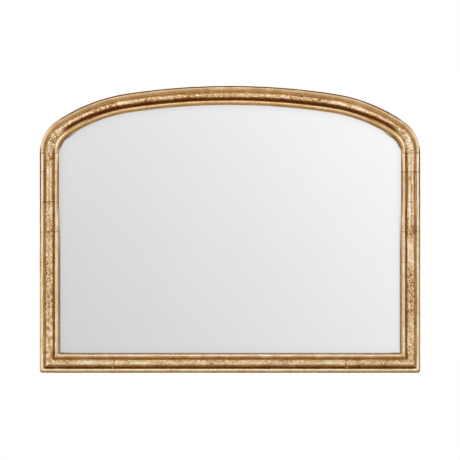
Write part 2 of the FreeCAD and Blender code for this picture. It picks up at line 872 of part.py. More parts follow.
# Recompute, check every object and write one STEP file for each piece.
doc.recompute()
for item in doc.Objects:
    if "Invalid" in item.State or "Error" in item.State:
        raise RuntimeError(item.Label + " did not compute")
os.makedirs("parts", exist_ok=True)
for item in nodes:
    if item.Shape.isNull() or not item.Shape.isValid():
        raise RuntimeError(item.Label + " has no valid shape")
    item.Shape.exportStep("parts/" + item.Label + ".step")
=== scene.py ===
import json
import math
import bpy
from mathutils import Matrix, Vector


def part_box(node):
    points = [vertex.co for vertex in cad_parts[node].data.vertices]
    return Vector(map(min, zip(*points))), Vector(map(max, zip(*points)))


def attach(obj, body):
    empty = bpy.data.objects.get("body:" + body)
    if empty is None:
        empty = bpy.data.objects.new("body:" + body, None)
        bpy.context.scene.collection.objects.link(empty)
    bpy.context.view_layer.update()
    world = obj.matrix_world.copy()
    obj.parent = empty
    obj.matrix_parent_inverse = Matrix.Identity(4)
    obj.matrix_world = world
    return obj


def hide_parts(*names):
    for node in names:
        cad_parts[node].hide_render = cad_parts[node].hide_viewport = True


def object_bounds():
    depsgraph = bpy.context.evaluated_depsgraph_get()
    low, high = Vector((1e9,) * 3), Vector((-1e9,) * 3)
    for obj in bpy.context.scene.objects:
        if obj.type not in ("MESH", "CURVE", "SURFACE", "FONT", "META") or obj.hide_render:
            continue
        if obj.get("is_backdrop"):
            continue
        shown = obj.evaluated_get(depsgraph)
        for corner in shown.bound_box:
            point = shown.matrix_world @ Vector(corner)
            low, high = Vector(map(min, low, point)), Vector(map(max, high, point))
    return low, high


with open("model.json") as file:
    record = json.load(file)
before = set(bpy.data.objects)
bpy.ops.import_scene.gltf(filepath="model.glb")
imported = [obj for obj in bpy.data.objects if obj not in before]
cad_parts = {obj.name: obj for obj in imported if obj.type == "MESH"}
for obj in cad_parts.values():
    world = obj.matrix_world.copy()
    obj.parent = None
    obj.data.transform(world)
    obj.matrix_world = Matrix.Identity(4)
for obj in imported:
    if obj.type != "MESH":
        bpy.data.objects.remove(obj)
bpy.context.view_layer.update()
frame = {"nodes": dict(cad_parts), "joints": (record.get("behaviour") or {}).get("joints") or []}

from types import SimpleNamespace

import bmesh
import bpy
import numpy as np
from mathutils import Vector, noise

# The gilded moulding: six lengths of timber with a bead, a large reed and a second bead between narrow
# quirks, coated in gesso and gilded over the joints. One section is carried along each length's line, the
# gesso on the reed is beaten by hand, and the leaf is toned with a brown glaze and rubbed back. Painted
# light and shade are laid in with the same glaze: darker where a side hangs down or faces away from the
# light, in the quirks, along the rim and the sight edge, and paler in a painted highlight line and where
# light falls.
mm = 0.001
hair = 0.1 * mm
half_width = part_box("bottom_rail")[1].x
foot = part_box("bottom_rail")[0].z
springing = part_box("left_stile")[1].z
stile_length = springing - foot
shoulder_radius = 122 * mm
shoulder_turn = math.radians(56)
haunch_radius = 540 * mm
crown_half_angle = math.radians(8.6)
crown_half_chord = 325 * mm
outer_softness = 10 * mm
inner_softness = 4 * mm
sight_softness = 7 * mm
station_step = 2.5 * mm
end_steps = np.array([0, 0.4, 0.8, 1.2, 1.7, 2.3, 3, 3.8, 4.7, 5.7, 6.8, 8, 9.5, 11.2, 13.2]) * mm

bed = 14.2 * mm
rebate_depth = 8.2 * mm
rebate_width = 10 * mm
back_arris = 1.5 * mm
reed_stilt = 1.5 * mm
reed_foot = bed + reed_stilt
outer_bead = (0, 14 * mm)
reed = (17.5 * mm, 42 * mm)
reed_middle = sum(reed) / 2
inner_bead = (46 * mm, 58 * mm)
sight = 60 * mm
rebate_side = sight - rebate_width


def half_round(edges, height, steps):
    """A half circle standing on the section between two edges."""
    radius = (edges[1] - edges[0]) / 2
    middle = (edges[0] + edges[1]) / 2
    turns = [math.pi * (1 - step / steps) for step in range(steps + 1)]
    return [(middle + radius * math.cos(t), height + radius * math.sin(t)) for t in turns]


def straight(start, end, steps):
    """Points from one corner of the section towards the next, without the last."""
    return [tuple(a + (b - a) * step / steps for a, b in zip(start, end)) for step in range(steps)]


section = []
section += straight((0, back_arris), (0, bed), 5)
section += half_round(outer_bead, bed, 16)
section += straight((outer_bead[1], bed), (reed[0], bed), 3)[1:]
section += straight((reed[0], bed), (reed[0], reed_foot), 3)
section += half_round(reed, reed_foot, 30)
section += straight((reed[1], reed_foot), (reed[1], bed), 3)[1:]
section += straight((reed[1], bed), (inner_bead[0], bed), 3)
section += half_round(inner_bead, bed, 16)
section += straight((inner_bead[1], bed), (sight, bed), 2)[1:]
section += straight((sight, bed), (sight, rebate_depth), 3)
section += straight((sight, rebate_depth), (rebate_side, rebate_depth), 3)
section += straight((rebate_side, rebate_depth), (rebate_side, 0), 3)
section += straight((rebate_side, 0), (back_arris, 0), 6)
section += straight((back_arris, 0), (0, back_arris), 2)
section = np.array(section)
across, height = section[:, 0], section[:, 1]
ahead = np.roll(section, -1, axis=0) - np.roll(section, 1, axis=0)
outward = np.stack([-ahead[:, 1], ahead[:, 0]], axis=1)
outward /= np.linalg.norm(outward, axis=1)[:, None]


def rising(level, start, width, least=0):
    """Nought, or the least, up to the start, and one from that width further on."""
    return np.clip((level - start) / width, least, 1)


def falling(level, start, width):
    """Nought down to the start, and one from that width lower."""
    return np.clip((start - level) / width, 0, 1)


def soft_line(level, middle, fade, fullness=1):
    """One along a middle line and nought away from it, fading over that width."""
    return np.clip(fullness - np.abs(level - middle) / fade, 0, 1)


def stretch(place, ends):
    """One between the middle two of four ends, fading to nought at the outer two."""
    return np.interp(place, ends, [0, 1, 1, 0])


# Where on the section leaf is laid, the reed is beaten, the gesso sways, glaze and painted shade pool in
# the quirks, and painted shade lies along the rim and the sight edge.
full_beating, least_beating = 8 * mm, 0.1
full_sway = 6 * mm
quirk_pool = 1.2 * mm
reed_pool, reed_pool_fade = 0.6 * mm, 2 * mm
rim_lean, rim_lean_fade = 0.35, 0.3
rim_drop, rim_fade, least_rim = 2 * mm, 3 * mm, 0.25
sight_band = 0.8 * mm
gilded = (height > rebate_depth + hair) | ((across < hair) & (height > back_arris))
on_reed = (across > reed[0] - hair) & (across < reed[1] + hair) & (height > bed + hair)
crinkle = np.where(on_reed, rising(height, reed_foot, full_beating, least_beating), 0) * gilded
sway = rising(height, rebate_depth, full_sway) * gilded
pit = falling(height, bed + quirk_pool, quirk_pool)
pit = np.where(on_reed, falling(height, reed_foot + reed_pool, reed_pool_fade), pit)
pit *= (across > outer_bead[1] / 2) & (across < sum(inner_bead) / 2)
# Painted shade along the rim, where the outer bead turns away towards the frame's side, and along the sight
# edge.
rim = rising(-outward[:, 0], rim_lean, rim_lean_fade)
rim *= rising(height, bed - rim_drop, rim_fade, least_rim)
rim *= across < outer_bead[1] / 2
sight_edge = rising(across, inner_bead[1] - sight_band, sight_band)


def mitred(distance, edge):
    """How far along and in from the corner a line of the moulding runs, with the corner softened, most
    of all at the frame's own edge."""
    softest = [outer_softness, inner_softness, inner_softness, sight_softness]
    softness = np.interp(edge, [0, reed[0], inner_bead[0], sight], softest)
    rounding = np.clip(softness - distance, 0, None) ** 2 / (4 * softness)
    return edge + distance + rounding, edge + rounding


def rail_line(share, edge):
    """The foot from corner to corner, by shares from minus one to one."""
    reach = (half_width - edge) * (1 - np.abs(share))
    along, inset = mitred(reach, edge)
    return np.sign(share) * (half_width - along), foot + inset


def stile_line(share, edge):
    """The left side from the foot's corner to the springing."""
    along, inset = mitred(share * (stile_length - edge), edge)
    return inset - half_width, foot + along


shoulder_end = math.pi - shoulder_turn
haunch_end = math.pi / 2 + crown_half_angle
crown_radius = crown_half_chord / math.sin(crown_half_angle)
shoulder_centre = np.array([shoulder_radius - half_width, springing])
leaning = np.array([math.cos(shoulder_end), math.sin(shoulder_end)])
haunch_centre = shoulder_centre - (haunch_radius - shoulder_radius) * leaning
leaning = np.array([math.cos(haunch_end), math.sin(haunch_end)])
crown_centre = haunch_centre - (crown_radius - haunch_radius) * leaning
shoulder_length = shoulder_radius * shoulder_turn
haunch_length = haunch_radius * (shoulder_end - haunch_end)
arch_length = shoulder_length + haunch_length
crown_length = 2 * crown_radius * crown_half_angle


def arc_line(centre, radius, angle, edge):
    """An arc of the frame's edge, or of a line that far inside it."""
    return centre[0] + (radius - edge) * np.cos(angle), centre[1] + (radius - edge) * np.sin(angle)


def arch_line(share, edge):
    """The left shoulder and haunch, from the springing to the crown."""
    run = share * arch_length
    on_shoulder = arc_line(shoulder_centre, shoulder_radius, math.pi - run / shoulder_radius, edge)
    turn = shoulder_end - (run - shoulder_length) / haunch_radius
    on_haunch = arc_line(haunch_centre, haunch_radius, turn, edge)
    low = run < shoulder_length
    return np.where(low, on_shoulder[0], on_haunch[0]), np.where(low, on_shoulder[1], on_haunch[1])


def crown_line(share, edge):
    """The top of the arch, by shares from minus one to one."""
    return arc_line(crown_centre, crown_radius, math.pi / 2 - share * crown_half_angle, edge)


def even_steps(first, last, length, fine_first, fine_last):
    """Shares along a length of moulding, closer together at an end that turns a corner or meets
    a joint."""
    fine = end_steps / length * (last - first)
    lead = fine if fine_first else fine[:1]
    tail = fine if fine_last else fine[:1]
    start, end = first + lead[-1], last - tail[-1]
    count = round((end - start) / (last - first) * length / station_step)
    return np.concatenate([first + lead[:-1], np.linspace(start, end, count + 1), last - tail[-2::-1]])


# Stretches that differ, by their run along the moulding from the foot's corner: the worn shoulder, the
# upper stile, a smear, a painted highlight line on the right, brighter gilding, and gesso run into the
# quirks.
shoulder_runs = stile_length + np.array([-5, 30, 112, 142]) * mm
upper_runs = np.array([500, 550, 650, 690]) * mm
smeared_runs = np.array([405, 420, 470, 485]) * mm
# Where a pale painted highlight line runs down the right stile's reed, and the row of dots beside it.
polished_runs = np.array([440, 465, 585, 605]) * mm
highlight_edge, highlight_fade = 33 * mm, 2 * mm
dotted_edge, dotted_fade = 27 * mm, 1.5 * mm
line_fullness = 1.5
bright_runs = stile_length + np.array([-15, 0, 40, 60]) * mm
outer_pool_runs = stile_length + np.array([10, 100]) * mm
inner_pool_runs = stile_length + np.array([-5, 40]) * mm
outer_pool_level = bed + 6 * mm
inner_pool_level = bed + 5 * mm
pool_share = 0.75
haunch_lean, haunch_lean_fade = 0.33, 0.12
crown_lean_fade = 0.2


def stood(at, edge, rise):
    """Points of a length of moulding, so far in from the frame's edge and forward of its back."""
    x, z = at.line(at.share, edge)
    return np.stack([at.side * x, -rise, z], axis=1)


def set_out(line, shares, length, start, mirrored, joint_at, folded):
    """A length of moulding before it is beaten: the section stood at each share of its line. Each point
    keeps its edge (how far in), rise (how far forward) and run (how far along), which way it faces, and
    how far it is on each part of the frame. The leaf is laid from the foot's corners up both sides, so
    the run along a length that crosses the middle is folded."""
    at = SimpleNamespace(line=line, rows=len(shares), mirrored=mirrored, side=-1 if mirrored else 1)
    at.share = np.repeat(shares, len(section))
    at.edge, rise = np.tile(across, at.rows), np.tile(height, at.rows)
    at.on_reed, at.outside = np.tile(on_reed, at.rows), at.edge < reed_middle
    at.run = start + (at.share if folded is None else folded - np.abs(at.share)) * length
    if line is stile_line:
        at.run = line(at.share, at.edge)[1] - foot
    at.from_joint = np.inf if joint_at is None else np.abs(at.share - joint_at) * length

    pool_level = np.where(at.outside, outer_pool_level, inner_pool_level)
    between_beads = (at.edge > sum(outer_bead) / 2) & (at.edge < sum(inner_bead) / 2)
    at.sunk = np.clip(pool_level - rise, 0, None) * ((rise > rebate_depth + hair) & between_beads)
    at.outer_pool = np.interp(at.run, outer_pool_runs, [0, 1])
    inner_pool = np.interp(at.run, inner_pool_runs, [0, 1])
    at.rise = rise + pool_share * np.where(at.outside, at.outer_pool, inner_pool) * at.sunk
    at.plain = stood(at, at.edge, at.rise)
    at.from_middle, at.z = np.abs(at.plain[:, 0]), at.plain[:, 2]

    at.lean, at.front = np.tile(outward[:, 0], at.rows), np.tile(outward[:, 1], at.rows)
    onward = np.stack(line(at.share + hair / length, at.edge))
    onward -= np.stack(line(at.share - hair / length, at.edge))
    onward /= np.linalg.norm(onward, axis=0)
    inward = np.stack(line(at.share, at.edge + hair)) - np.stack(line(at.share, at.edge))
    inward -= (inward * onward).sum(axis=0) * onward
    sideways, climb = inward / np.linalg.norm(inward, axis=0)
    at.aside, at.on_arch, at.on_rail = np.abs(sideways), np.clip(-climb, 0, 1), np.clip(climb, 0, 1)
    at.up, at.down = np.clip(at.lean * climb, 0, 1), np.clip(-at.lean * climb, 0, 1)
    at.on_shoulder = stretch(at.run, shoulder_runs)
    at.on_upper = at.aside * stretch(at.run, upper_runs)
    at.low_haunch = at.on_arch * rising(at.aside, haunch_lean, haunch_lean_fade)
    at.near_crown = at.on_arch * soft_line(at.aside, 0, crown_lean_fade)
    # A pale painted highlight line down the inner side of the right stile's reed.
    at.polished = mirrored * stretch(at.run, polished_runs)
    at.rubbed_line = at.polished * soft_line(at.edge, highlight_edge, highlight_fade, line_fullness)
    return at


beaten_runs = np.array([0, 25, 180, 225, 530, 560, 640, 670, 710, 800, 840]) * mm
beaten_left = [0.5, 0.5, 0.45, 1, 1, 0.4, 0.4, 1, 1.5, 1.5, 1]
beaten_right = [0.5, 0.85, 0.85, 1, 1.1, 0.7, 0.7, 1, 1.5, 1.5, 1]
crown_beating = 0.55
crown_beating_reach = (60 * mm, 160 * mm)
dish_size, dish_depth = 7.5 * mm, 2.0 * mm
lump_size, lump_height = 5 * mm, 0.7 * mm
slow_sway, slow_sway_height = 46 * mm, 0.35 * mm
quick_sway, quick_sway_height = 13 * mm, 0.30 * mm
flat_under_highlight = 0.8
joint_gap, joint_depth = 1.3 * mm, 0.6 * mm


def lumps(points, size):
    """Soft bumps of about that size, from minus one to one."""
    return np.array([noise.noise(Vector(p) / size) for p in points])


def dishes(points, size):
    """Shallow dishes side by side, as a round-faced tool leaves: how high each point stands between
    a dish's middle and its rim, and how near it is to the crease between two."""
    rim_reach, crease_width = 0.75, 0.22
    reach = np.array([noise.voronoi(Vector(p) / size)[0][:2] for p in points])
    near_rim = np.clip(reach[:, 0] / rim_reach, 0, 1)
    return near_rim, np.clip(1 - (reach[:, 1] - reach[:, 0]) / crease_width, 0, 1)


def beaten_points(at):
    """The points once the reed is beaten, smoother low down, near the top of each stile and over the
    crown, harder on the shoulders, and not alike on the two sides. The rest only sways, as gesso does."""
    at.beating = np.interp(at.run, beaten_runs, beaten_right if at.mirrored else beaten_left)
    at.beating *= np.where(at.z > 0, np.interp(at.from_middle, crown_beating_reach, [crown_beating, 1]), 1)
    # The reed is beaten flatter under the painted highlight line.
    at.beaten = np.tile(crinkle, at.rows) * at.beating * (1 - flat_under_highlight * at.rubbed_line)
    worked_over = at.beaten > 0
    dish, at.crease = np.zeros(len(at.plain)), np.zeros(len(at.plain))
    dish[worked_over], at.crease[worked_over] = dishes(at.plain[worked_over], dish_size)
    move = at.beaten * (dish_depth * (dish - 0.5) + lump_height * lumps(at.plain, lump_size))
    swaying = slow_sway_height * lumps(at.plain, slow_sway) + quick_sway_height * lumps(at.plain, quick_sway)
    move += np.tile(sway, at.rows) * swaying
    move -= joint_depth * soft_line(at.from_joint, 0, joint_gap) * np.tile(gilded, at.rows)
    return stood(at, at.edge + move * at.lean, at.rise + move * at.front)


def facing(at, plain, up=0, down=0, inward=0, outward=0):
    """A thickness of glaze, with painted light or shade added where the moulding faces up, down, inward or
    outward.
    """
    inner_side, outer_side = np.clip(at.lean, 0, 1), np.clip(-at.lean, 0, 1)
    return plain + up * at.up + down * at.down + inward * inner_side + outward * outer_side


def beads_glazed_and_shaded(at):
    """Glaze and painted light and shade on the two beads: a little more glaze low on the stiles; painted
    shade on the sides that face inward there, on the inner bead's plate side near the top of the stiles, on
    the low haunches and on the shoulders, and on the outer bead's inner side on the shoulders; painted light
    and shade on the rail, the arch and the crown by how far a side faces up or down; and a painted highlight
    on the inner bead's outer side on the shoulders."""
    outer = at.edge < reed[0]
    stile_heights, stile_glaze = [-0.3, 0], [0.06, 0.01]
    upper_shade, upper_start, upper_width = 0.35, 51 * mm, 6 * mm
    haunch_shade, haunch_start, haunch_width = 0.08, 48 * mm, 3 * mm
    stile = facing(at, np.interp(at.z, stile_heights, stile_glaze), inward=0.1 * (1 - at.on_upper))
    rail_outer, rail_inner = 0.19 * (1 - np.clip(4 * at.up, 0, 1)), facing(at, 0.22, up=-0.28)
    arch_outer, arch_inner = facing(at, 0.13, up=0.2, down=0.12), facing(at, 0.24, up=-0.16, down=0.06)
    shoulder_outer, shoulder_inner = facing(at, 0.04, inward=0.08), facing(at, 0.04, outward=-0.15)
    crown_outer, crown_inner = facing(at, 0, up=0.1), facing(at, 0, up=0.13)
    levels = at.aside * stile
    levels += at.on_rail * np.where(outer, rail_outer, rail_inner)
    levels += at.on_arch * np.where(outer, arch_outer, arch_inner)
    levels += at.on_shoulder * np.where(outer, shoulder_outer, shoulder_inner)
    levels += upper_shade * at.on_upper * rising(at.edge, upper_start, upper_width)
    inner_half = haunch_shade * rising(at.edge, haunch_start, haunch_width)
    levels += inner_half * np.maximum(at.low_haunch, at.on_shoulder)
    levels += at.near_crown * np.where(outer, crown_outer, crown_inner)
    return levels


def patchy(at, size, most):
    """Ragged patches of about that size, covering more of the surface the higher the most."""
    return np.clip(most + lumps(at.plain, size), 0, 1)


def stile_reed_glazed_and_lit(at):
    """Glaze and painted light on the stiles' reed: tan patches where it is smooth, a smear, a pale painted
    highlight line down the right one with a row of dots beside it, and painted shade on the edges and along
    the ridge near the top."""
    tan_glaze, smear_glaze, dot_glaze, highlight_lift = 0.7, 0.1, 0.4, -0.3
    edge_shade, edge_lean, edge_lean_fade = 0.2, 0.5, 0.3
    ridge_shade, ridge_fade = 0.18, 2 * mm
    tan = np.clip(1 - at.beating, 0, 1) * (1 - at.on_upper) * patchy(at, size=14 * mm, most=0.2)
    smear = stretch(at.run, smeared_runs) * patchy(at, size=6 * mm, most=0.6)
    dots = at.polished * soft_line(at.edge, dotted_edge, dotted_fade, line_fullness)
    dots *= patchy(at, size=5 * mm, most=0.4)
    edges = edge_shade * rising(np.abs(at.lean), edge_lean, edge_lean_fade)
    ridge = ridge_shade * soft_line(at.edge, reed_middle, ridge_fade)
    lower = tan_glaze * tan + smear_glaze * smear + dot_glaze * dots + highlight_lift * at.rubbed_line
    return at.aside * lower + at.on_upper * (edges + ridge)


def arch_reed_shaded(at, ragged):
    """Painted shade on the arch's reed: deep brown on the side that faces the plate and hangs down, from a
    ragged edge that comes further over the reed away from the crown, lifted off the reed's foot on the low
    haunches, and a little on the side that faces up."""
    raggedness = 0.3
    asides, shade_starts = [0, 0.07, 0.15, 0.35, 0.5], [0.32, 0.17, 0.1, 0.08, -0.15]
    turns, brown_shade = [-0.9, -0.4, 0, 0.3, 0.63, 1.2], [0.14, -0.01, -0.01, 0.5, 0.66, 0.66]
    haunch_top, crown_top, top_fade = 0.08, 0.07, 4
    foot_unshaded, unshaded_start, unshaded_width = 0.75, 39.5 * mm, 2 * mm
    arch_start, arch_fade = 0.35, 0.45
    haunch_more, haunch_fade = 0.15, 3
    turned = at.lean + raggedness * ragged - np.interp(at.aside, asides, shade_starts)
    shaded = np.interp(turned, turns, brown_shade)
    shaded += (haunch_top * at.low_haunch + crown_top * at.near_crown) * np.clip(-top_fade * turned, 0, 1)
    shaded *= 1 - foot_unshaded * at.low_haunch * rising(at.edge, unshaded_start, unshaded_width)
    shaded *= 1 + haunch_more * np.clip(haunch_fade * at.aside, 0, 1)
    return rising(at.on_arch, arch_start, arch_fade) * shaded


def reed_glazed_and_shaded(at):
    """The glaze and painted shade on the reed: a trace of glaze all over, a band of painted shade along the
    rail's underside, short of the very bottom, and a thinner darker band above, what the stiles and the arch
    have, and on the shoulders next to none, worn to pale leaf, but for painted shade on the flanks."""
    trace, rag_size = 0.02, 4 * mm
    band_shade, band_start, band_width, band_curve = 0.45, 0.1, 0.65, 1.2
    band_gap_share, band_gap_start, band_gap_width = 0.9, 0.86, 0.06
    rail_tops, rail_top_shade = [0, 0.2, 0.45, 0.75], [0, 0, 0.17, 0]
    shoulder_glaze = [-0.2, -0.22, -0.03, 0]
    flank_shade, flank_middle, flank_start, flank_raggedness = 0.24, 0.1, 0.15, 0.25
    underside = rising(at.down, band_start, band_width) ** band_curve
    underside *= 1 - band_gap_share * rising(at.down, band_gap_start, band_gap_width)
    rail = np.interp(at.up, rail_tops, rail_top_shade) + band_shade * underside
    ragged = at.on_reed * lumps(at.plain, rag_size)
    levels = trace + at.on_rail * rail + stile_reed_glazed_and_lit(at) + arch_reed_shaded(at, ragged)
    flank = np.abs(at.lean - flank_middle + flank_raggedness * ragged) - flank_start
    rubbed = np.interp(at.run, shoulder_runs, shoulder_glaze) + flank_shade * np.clip(flank, 0, 1)
    return levels + at.on_shoulder * (rubbed - levels)


beside_inner_bead = np.array([45.1, 45.7, 48, 49]) * mm
beside_reed_foot = np.array([39.5, 41, 48, 49]) * mm
outside_rail_reed = np.array([12.5, 13, 14.2, 14.8]) * mm
inside_rail_reed = np.array([41.5, 42, 42.6, 43.2]) * mm
rail_lap = 370 * mm
rail_lap_on_reed = rail_lap - 4 * mm


def by_part(at, plain, rail=0, arch=0, shoulder=0, upper=0):
    """A thickness of glaze, with what is added on the rail, the arch, the shoulders and the upper stiles."""
    arch_above_shoulder = at.on_arch * (1 - at.on_shoulder)
    levels = plain + rail * at.on_rail + upper * at.on_upper
    return levels + arch * arch_above_shoulder + shoulder * at.on_shoulder


def quirks_glazed_and_shaded(at):
    """The glaze and painted shade lying in the quirks: most in the rail's outer quirk under the reed and the
    arch's inner one, least in the arch's outer one and on the shoulders, and less along their edges where
    light falls and across the outer one at a lap.
    """
    lightened_share, lap_fade, lap_fullness = 0.8, 2 * mm, 1.6
    run_glaze, run_depth = 0.28, 3 * mm
    outer = by_part(at, 0.32, rail=0.6, arch=-0.27, shoulder=-0.08, upper=0 if at.mirrored else 0.12)
    inner = by_part(at, 0.52, arch=0.25, shoulder=-0.32, upper=-0.05)
    filled = np.tile(pit, at.rows) * np.where(at.on_reed, 1 - at.on_rail, 1)
    off_crown = at.on_arch * (1 - lightened_share * at.near_crown)
    lightened = (off_crown + at.on_upper) * stretch(at.edge, beside_inner_bead)
    beside_reed = stretch(at.edge, outside_rail_reed) + stretch(at.edge, inside_rail_reed)
    lightened += (at.on_rail + at.mirrored * at.on_upper * at.outside) * beside_reed
    lightened = np.maximum(lightened, at.low_haunch * stretch(at.edge, beside_reed_foot))
    filled *= 1 - lightened_share * lightened
    at_lap = at.on_rail * at.outside * soft_line(at.from_middle, rail_lap, lap_fade, lap_fullness)
    filled *= 1 - lightened_share * at_lap
    run_together = run_glaze * at.outside * at.outer_pool * np.clip(at.sunk / run_depth, 0, 1)
    return np.maximum(filled * np.where(at.outside, outer, inner), run_together)


def seams_toned(at):
    """The brown lines over the reed at the rail's laps, and all across where two lengths meet."""
    fade, fullness = 2 * mm, 1.4
    lap_glaze, joint_glaze, joint_on_reed = 0.4, 0.35, 0.4
    lap = at.on_rail * at.on_reed * soft_line(at.from_middle, rail_lap_on_reed, fade, fullness)
    joint = soft_line(at.from_joint, 0, fade, fullness) * np.where(at.on_reed, joint_on_reed, 1)
    return np.maximum(lap_glaze * lap, joint_glaze * joint)


def edges_shaded(at):
    """Painted shade on the frame's rim, less of it low on the left, wider on the haunches and none on the
    shoulders, and along the sight edge."""
    rim_heights, rim_shade = [-0.35, 0.05], [0.5 if at.mirrored else 0.25, 0.95]
    rail_rim_more, haunch_shade, haunch_edge, haunch_fade = 0.25, 0.6, 5 * mm, 2 * mm
    shoulder_sight = 0.3
    rim_shade_level = np.tile(rim, at.rows) * (np.interp(at.z, rim_heights, rim_shade) + rail_rim_more * at.on_rail)
    haunch = falling(at.edge, haunch_edge, haunch_fade) * (at.rise > bed) * at.on_arch * at.aside
    outer = np.maximum(rim_shade_level, haunch_shade * haunch) * (1 - at.on_shoulder)
    inner = by_part(at, 0.27, rail=0.1, upper=0.25) + shoulder_sight * at.on_shoulder ** 2
    return np.maximum(outer, np.tile(sight_edge, at.rows) * inner)


def feed(tree, node, inputs):
    """Numbers, colours or other nodes' outputs onto a node's inputs."""
    for name, value in inputs.items():
        if isinstance(value, bpy.types.NodeSocket):
            tree.links.new(value, node.inputs[name])
        else:
            node.inputs[name].default_value = value


def add(tree, kind, inputs=None, **settings):
    """One shader node, with what goes onto its inputs."""
    made = tree.nodes.new("ShaderNode" + kind)
    for name, value in settings.items():
        setattr(made, name, value)
    feed(tree, made, inputs or {})
    return made


def ramp(tree, level, *stops):
    """Colours or levels between stops, each a place and a grey or a colour."""
    made = add(tree, "ValToRGB", {"Fac": level})
    steps = made.color_ramp.elements
    while len(steps) < len(stops):
        steps.new(0.5)
    for step, (place, value) in zip(steps, stops):
        step.position = place
        step.color = (*value, 1) if isinstance(value, tuple) else (value, value, value, 1)
    return made.outputs["Color"]


def mixed(tree, share, first, second):
    """Two colours mixed."""
    first, second = ((*c, 1) if isinstance(c, tuple) else c for c in (first, second))
    return add(tree, "Mix", {0: share, 6: first, 7: second}, data_type="RGBA").outputs[2]


def worked(tree, operation, first, second=0.0, third=0.0):
    """One step of arithmetic on two or three levels."""
    return add(tree, "Math", {0: first, 1: second, 2: third}, operation=operation).outputs["Value"]


def varied(tree, level, plain, swing):
    """A plain level, changed by up to so much with a cloudy one."""
    return worked(tree, "MULTIPLY_ADD", level, swing, plain)


def swung(tree, level, depth, onto):
    """The swing of a cloudy level about its middle, so deep, added to another level."""
    return worked(tree, "MULTIPLY_ADD", worked(tree, "SUBTRACT", level, 0.5), depth, onto)


def speckle(tree, place, to_the_metre, detail=2, rough=0.5, warp=0):
    """Cloudy spots, so many to the metre."""
    spots = {"Vector": place, "Scale": to_the_metre, "Detail": detail, "Roughness": rough, "Distortion": warp}
    return add(tree, "TexNoise", spots).outputs["Fac"]


def drawn_out(tree, place, to_the_metre, detail=2, rough=0.5, warp=0):
    """Streaks, so many to the metre in each direction."""
    stretched = add(tree, "Mapping", {"Vector": place, "Scale": to_the_metre}).outputs["Vector"]
    return speckle(tree, stretched, 1, detail, rough, warp)


def level_on(tree, label):
    """A level that the mesh keeps at each point."""
    return add(tree, "Attribute", attribute_name=label).outputs["Fac"]


def relief(tree, height, strength, depth):
    """A fine relief, so deep."""
    return add(tree, "Bump", {"Height": height, "Strength": strength, "Distance": depth}).outputs["Normal"]


def finish_of(name):
    """A new material, its node tree and its shader."""
    material = bpy.data.materials.new(name)
    material.use_nodes = True
    return material, material.node_tree, material.node_tree.nodes["Principled BSDF"]


def place_on(tree):
    """Where on the frame each point of a finish is."""
    return add(tree, "TexCoord").outputs["Object"]


pale_leaf = (0.97, 0.84, 0.645)
glaze_strength = (2.4, 3.9, 6.4)
glaze_steps = (0, 0.1, 0.22, 0.36, 0.52, 0.74, 1)
streak_glaze = 0.42
cloud_glaze = 0.22
reed_fleck_glaze = 0.6
glaze_fleck_share = 0.5
crease_glaze_and_shade = 0.8
lap_spacing = 95 * mm
first_lap = 64 * mm
lap_waver = 6 * mm
grain_relief = 0.22
lap_relief = -0.25


def glazed(thickness):
    """Leaf under that much of a brown glaze, or under painted shade laid in as glaze, which takes out blue
    fastest and red slowest.
    """
    return tuple(leaf * math.exp(-taken * thickness) for leaf, taken in zip(pale_leaf, glaze_strength))


# The leaf's finish: the glaze and painted light and shade kept in the mesh, with more glaze brushed along it
# in streaks and clouds, broken into flecks where it is thick or the reed is beaten, gathered with painted
# shade in the creases, and showing as thin lines where two sheets of leaf lap.
gilding, tree, shader = finish_of("gilding")
place = place_on(tree)
along_moulding = add(tree, "UVMap", uv_map="moulding").outputs["UV"]
run = add(tree, "SeparateXYZ", {"Vector": along_moulding}).outputs["X"]
toned, beaten, crease = (level_on(tree, label) for label in ("glaze_and_shade", "crinkle", "crease"))
clouds = speckle(tree, place, 38, detail=4, rough=0.6)
patches = speckle(tree, place, 13)
flecks = speckle(tree, place, 230, detail=3, rough=0.65)
grains = speckle(tree, place, 620, rough=0.6)
streaks = drawn_out(tree, along_moulding, (16, 420, 1), detail=3, rough=0.6)
glaze = swung(tree, streaks, streak_glaze, toned)
glaze = swung(tree, clouds, cloud_glaze, glaze)
broken = worked(tree, "MULTIPLY", toned, glaze_fleck_share)
broken = worked(tree, "MULTIPLY_ADD", beaten, reed_fleck_glaze, broken)
glaze = swung(tree, flecks, broken, glaze)
specks = worked(tree, "MULTIPLY", ramp(tree, flecks, (0.33, 1.0), (0.43, 0.0)), beaten)
# Glaze and painted shade gather in the creases between the beaten dishes.
specks = worked(tree, "MAXIMUM", specks, worked(tree, "MULTIPLY", crease, crease_glaze_and_shade))
crisp = ramp(tree, patches, (0.40, 0.15), (0.60, 0.75))
glaze = worked(tree, "MULTIPLY_ADD", specks, crisp, glaze)
wander = worked(tree, "MULTIPLY", speckle(tree, place, 60), lap_waver)
from_first = worked(tree, "ADD", run, worked(tree, "SUBTRACT", wander, first_lap + lap_waver / 2))
from_lap = worked(tree, "PINGPONG", from_first, lap_spacing / 2)
lap_line = ramp(tree, worked(tree, "DIVIDE", from_lap, lap_spacing), (0.006, 1.0), (0.018, 0.0))
upper_laps = ramp(tree, run, (0.36, 0.08), (0.42, 0.36), (0.66, 0.36), (0.7, 0.06))
lap_line = worked(tree, "MULTIPLY", lap_line, upper_laps)
lap_line = worked(tree, "MULTIPLY", lap_line, ramp(tree, clouds, (0.40, 0.0), (0.58, 1.0)))
glaze = worked(tree, "ADD", glaze, lap_line)
dull = add(tree, "Clamp", {"Value": glaze}).outputs["Result"]
gloss = varied(tree, clouds, plain=0.12, swing=0.16)
ripple = worked(tree, "MULTIPLY_ADD", flecks, beaten, worked(tree, "MULTIPLY", grains, grain_relief))
ripple = worked(tree, "ADD", ripple, worked(tree, "MULTIPLY", lap_line, lap_relief))
